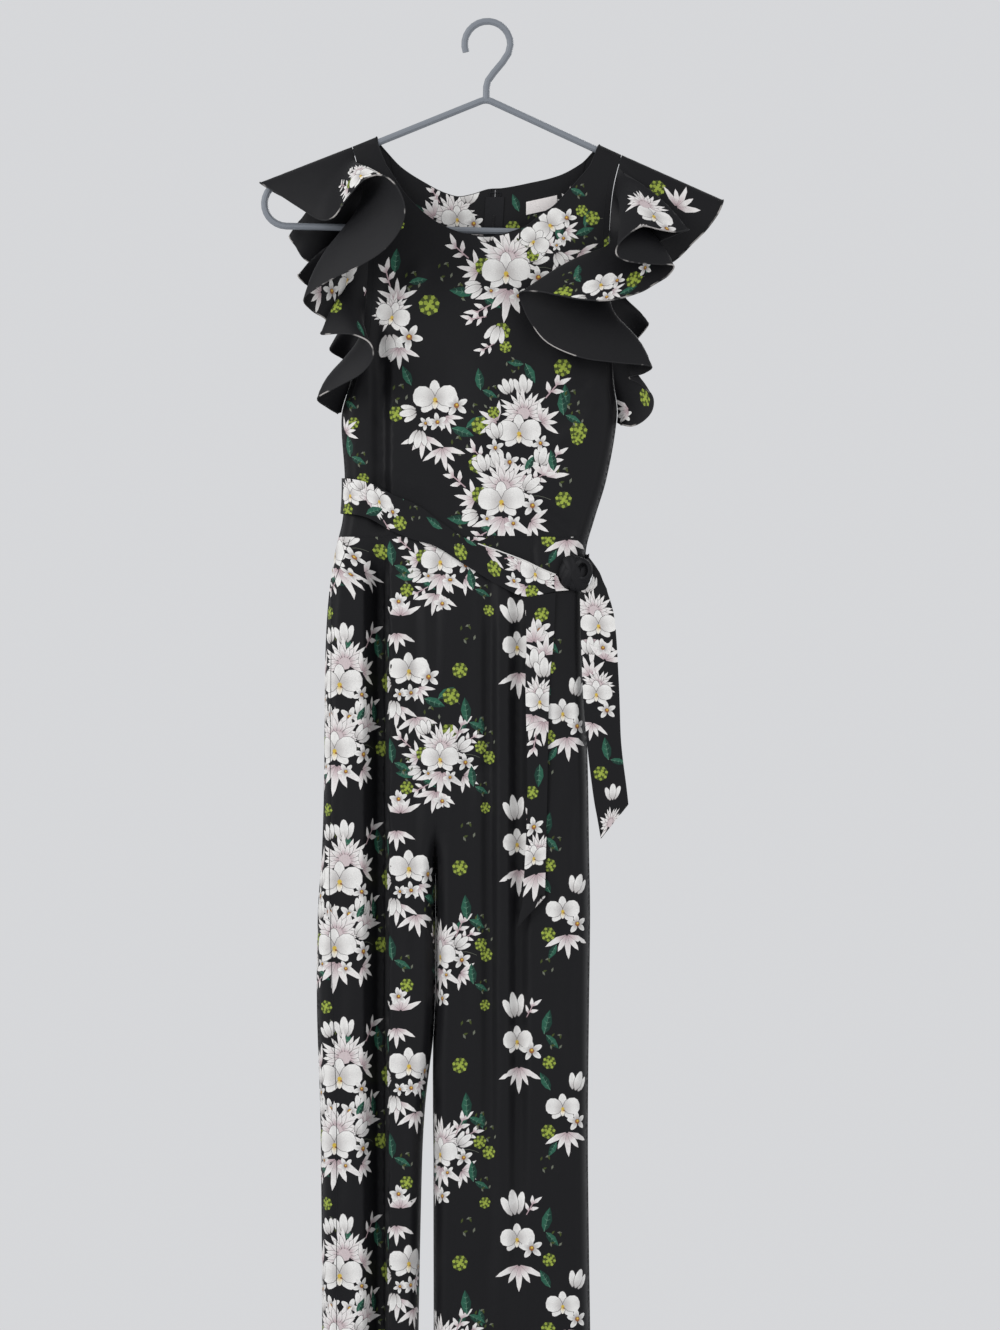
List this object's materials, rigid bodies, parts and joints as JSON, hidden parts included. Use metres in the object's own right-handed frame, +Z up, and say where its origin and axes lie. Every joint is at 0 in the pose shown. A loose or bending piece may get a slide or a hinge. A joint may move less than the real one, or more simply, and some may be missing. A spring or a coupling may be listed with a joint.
{
  "type": "jumpsuit on a clothes hanger",
  "caption": "Sleeveless wide-leg jumpsuit with a ruffle down each armhole and a tied sash belt, hung flat on a tube clothes hanger",
  "frame": {"origin": "the highest point of the inside of the hanger's hook, where a rail or wall hook carries it", "axes": "+Z is up along the hanging garment, -Y is its front, +X is to the viewer's right when its front is seen"},
  "size_m": [0.4494, 0.1477, 1.4466],
  "materials": {
    "crepe": "black polyester crepe with an all-over print of white blossom, green leaves and small yellow-green rosettes, soft low sheen",
    "hanger_plastic": "moulded grey plastic tube with a satin surface",
    "label_satin": "blank white woven satin label",
    "zip_tape": "black woven zip tape with nylon coil teeth",
    "zip_metal": "black enamelled zip slider, pull, hook and eye"
  },
  "bodies": {
    "garment": {"bodice_front": "crepe", "bodice_back_left": "crepe", "bodice_back_right": "crepe", "leg_front_left": "crepe", "leg_front_right": "crepe", "leg_back_left": "crepe", "leg_back_right": "crepe", "ruffle_left": "crepe", "ruffle_right": "crepe", "belt_front": "crepe", "belt_back": "crepe", "belt_knot": "crepe", "belt_tail_outer": "crepe", "belt_tail_inner": "crepe", "hanger": "hanger_plastic", "neck_label": "label_satin", "zip_tape": "zip_tape", "zip_slider": "zip_metal", "neck_hook": "zip_metal", "neck_eye": "zip_metal"},
    "pull_tab": {"zip_pull": "zip_metal"}
  },
  "joints": [
    {"name": "pull_tab_swing", "type": "hinge", "parent": "garment", "child": "pull_tab", "pos_m": [0.00617, 0.01498, -0.1736], "axis": [1, 0, 0], "range_deg": [0, 150]}
  ]
}
